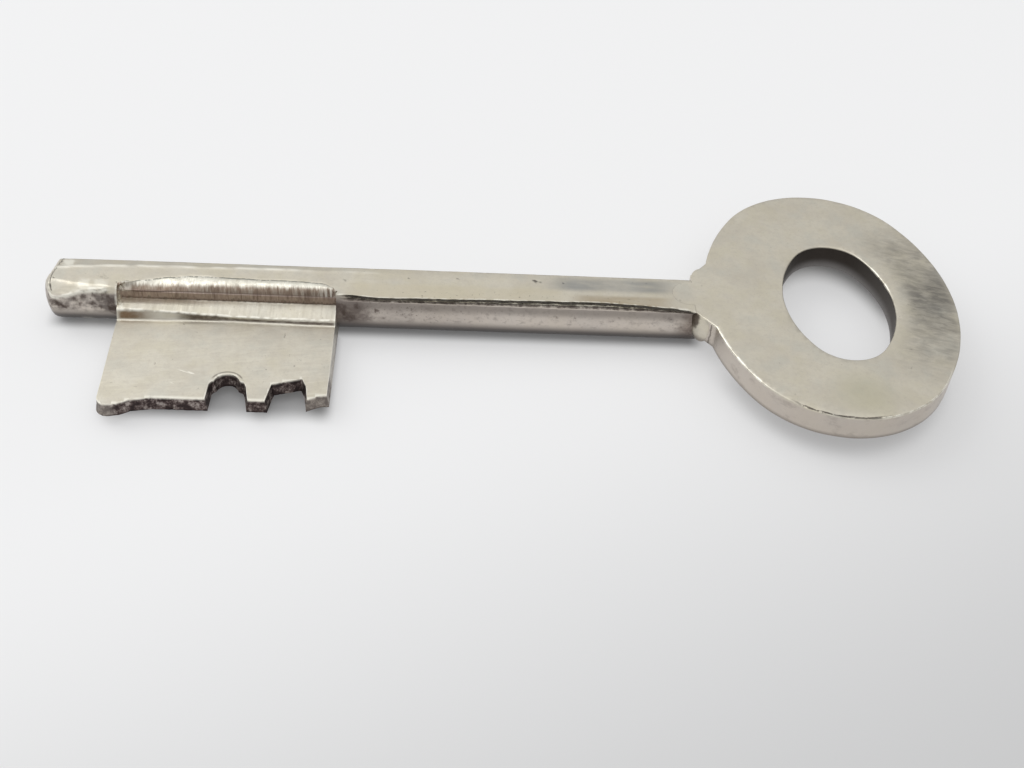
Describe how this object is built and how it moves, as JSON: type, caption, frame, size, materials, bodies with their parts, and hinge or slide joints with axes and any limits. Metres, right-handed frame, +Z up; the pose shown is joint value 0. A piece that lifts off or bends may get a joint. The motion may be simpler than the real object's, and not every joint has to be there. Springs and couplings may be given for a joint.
{
  "type": "door key",
  "caption": "Lever lock door key in worn nickel-plated steel: a flat oval bow with a ring hole, a round stem with a ground flat, and a thin bit with lever cuts.",
  "frame": {"origin": "on the surface that the key lies on, under the middle of its length and on the stem's centre line", "axes": "+X along the stem from the tip to the bow, +Z up from the surface, the bit towards -Y"},
  "size_m": [0.0914, 0.0338, 0.0054],
  "materials": {
    "bow_nickel": "worn nickel plate, smudged and finely scratched",
    "stem_nickel": "worn nickel plate with small pits and a ground flat",
    "bit_nickel": "brushed, with filed cuts and dark tarnish in the step",
    "braze": "bright, rubbed seam of brazing metal"
  },
  "bodies": {
    "root": {"bow": "bow_nickel", "stem": "stem_nickel", "bit": "bit_nickel", "bit_braze": "braze", "neck_braze": "braze"}
  },
  "joints": []
}
